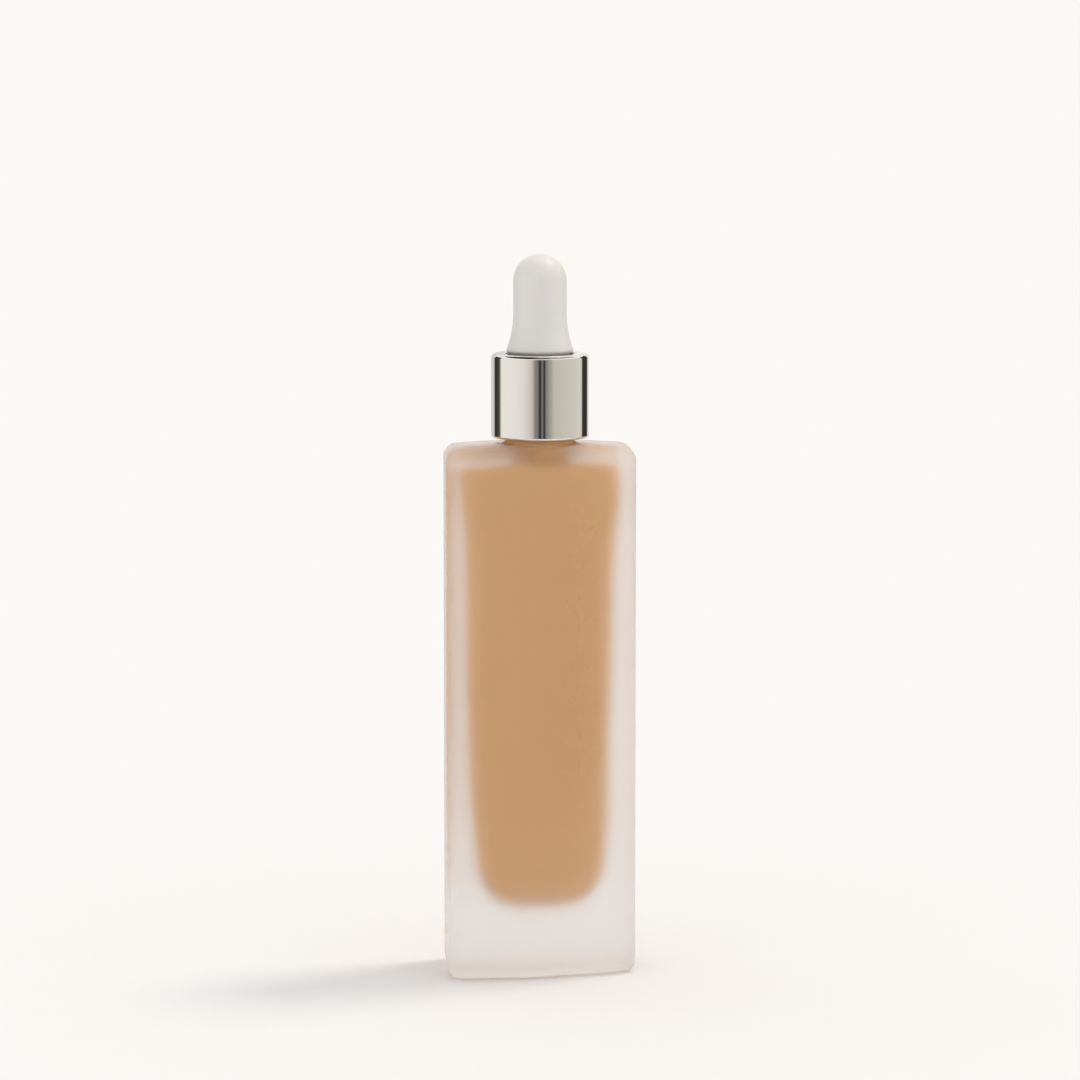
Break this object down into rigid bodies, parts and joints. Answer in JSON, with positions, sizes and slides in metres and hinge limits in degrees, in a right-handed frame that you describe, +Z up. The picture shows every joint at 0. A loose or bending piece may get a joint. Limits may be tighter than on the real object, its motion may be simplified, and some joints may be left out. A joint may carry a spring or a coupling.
{
  "type": "foundation bottle",
  "caption": "Slim frosted glass bottle with a slanted front facet, filled with beige liquid and closed by a screw-on dropper: mirror collar, white rubber bulb and long glass pipette.",
  "frame": {"origin": "on the neck's axis, on the surface the bottle stands on, which is the bottom centre of its box", "axes": "+Z up along the neck, -Y towards the front with the slanted facet, +X to the right seen from the front"},
  "size_m": [0.0388, 0.0236, 0.1478],
  "materials": {
    "frosted_glass": "acid-etched, satin",
    "foundation": "opaque beige liquid, smooth",
    "wiper_plastic": "natural low-density polyethylene",
    "washer_foam": "foamed polyethylene",
    "pipette_glass": "clear, fire-polished",
    "mirror_metal": "mirror bright",
    "insert_plastic": "white moulded polypropylene",
    "bulb_rubber": "white, satin"
  },
  "bodies": {
    "bottle": {"glass_bottle": "frosted_glass", "foundation_fill": "foundation", "neck_wiper": "wiper_plastic"},
    "washer": {"sealing_washer": "washer_foam"},
    "pipette": {"pipette_tube": "pipette_glass"},
    "collar": {"collar_shell": "mirror_metal", "collar_thread_insert": "insert_plastic"},
    "bulb": {"dropper_bulb": "bulb_rubber"}
  },
  "joints": [
    {"name": "dropper_lift", "type": "slide", "parent": "bottle", "child": "washer", "axis": [0, 0, 1], "range_m": [0, 0.112]},
    {"name": "thread_rise", "type": "slide", "parent": "washer", "child": "pipette", "axis": [0, 0, 1], "range_m": [0, 0.0048]},
    {"name": "collar_turn", "type": "hinge", "parent": "pipette", "child": "collar", "pos_m": [0, 0, 0.1104], "axis": [0, 0, 1], "range_deg": [0, 540]},
    {"name": "bulb_squeeze", "type": "slide", "parent": "collar", "child": "bulb", "axis": [0, 0, -1], "range_m": [0, 0.003], "stiffness_N_per_m": 400, "deforming": ["dropper_bulb"]}
  ],
  "couplings": [
    {"joint": "thread_rise", "follows": "collar_turn", "m_per_rad": 0.00050532}
  ]
}
